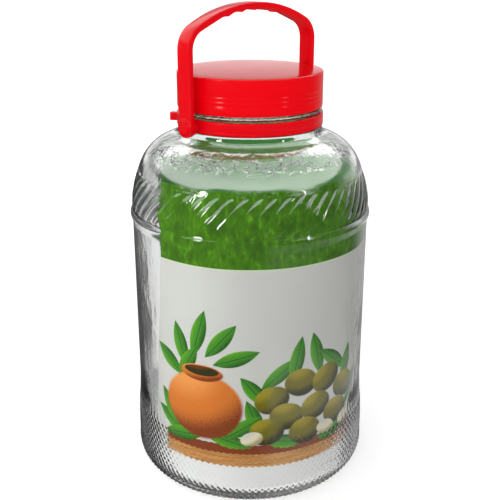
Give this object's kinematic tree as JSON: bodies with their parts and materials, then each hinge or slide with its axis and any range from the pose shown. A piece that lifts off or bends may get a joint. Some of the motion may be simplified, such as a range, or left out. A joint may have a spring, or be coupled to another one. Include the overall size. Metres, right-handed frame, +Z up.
{
  "type": "glass storage jar",
  "caption": "Wide-mouth glass storage jar with a slanted-rib shoulder band, a screw lid, a collar ring with a swinging carry handle, and a rolled paper insert inside.",
  "frame": {"origin": "centre of the jar's base, on the surface that it stands on", "axes": "+Z up along the jar's axis; X along the handle's pivots, so that the raised handle lies in the XZ plane"},
  "size_m": [0.198, 0.1976, 0.3903],
  "materials": {
    "clear_glass": "clear pressed glass, polished, with a dotted grip pattern round its foot",
    "red_lid": "bright red moulded plastic, semi-gloss",
    "red_plastic": "bright red moulded plastic, semi-gloss",
    "printed_paper": null
  },
  "bodies": {
    "jar": {"glass_jar": "clear_glass", "screw_lid": "red_lid", "collar_ring": "red_plastic", "paper_insert": "printed_paper"},
    "handle": {"carry_handle": "red_plastic"}
  },
  "joints": [
    {"name": "handle_swing", "type": "hinge", "parent": "jar", "child": "handle", "pos_m": [0, 0, 0.3019], "axis": [1, 0, 0], "range_deg": [-100, 100]}
  ]
}
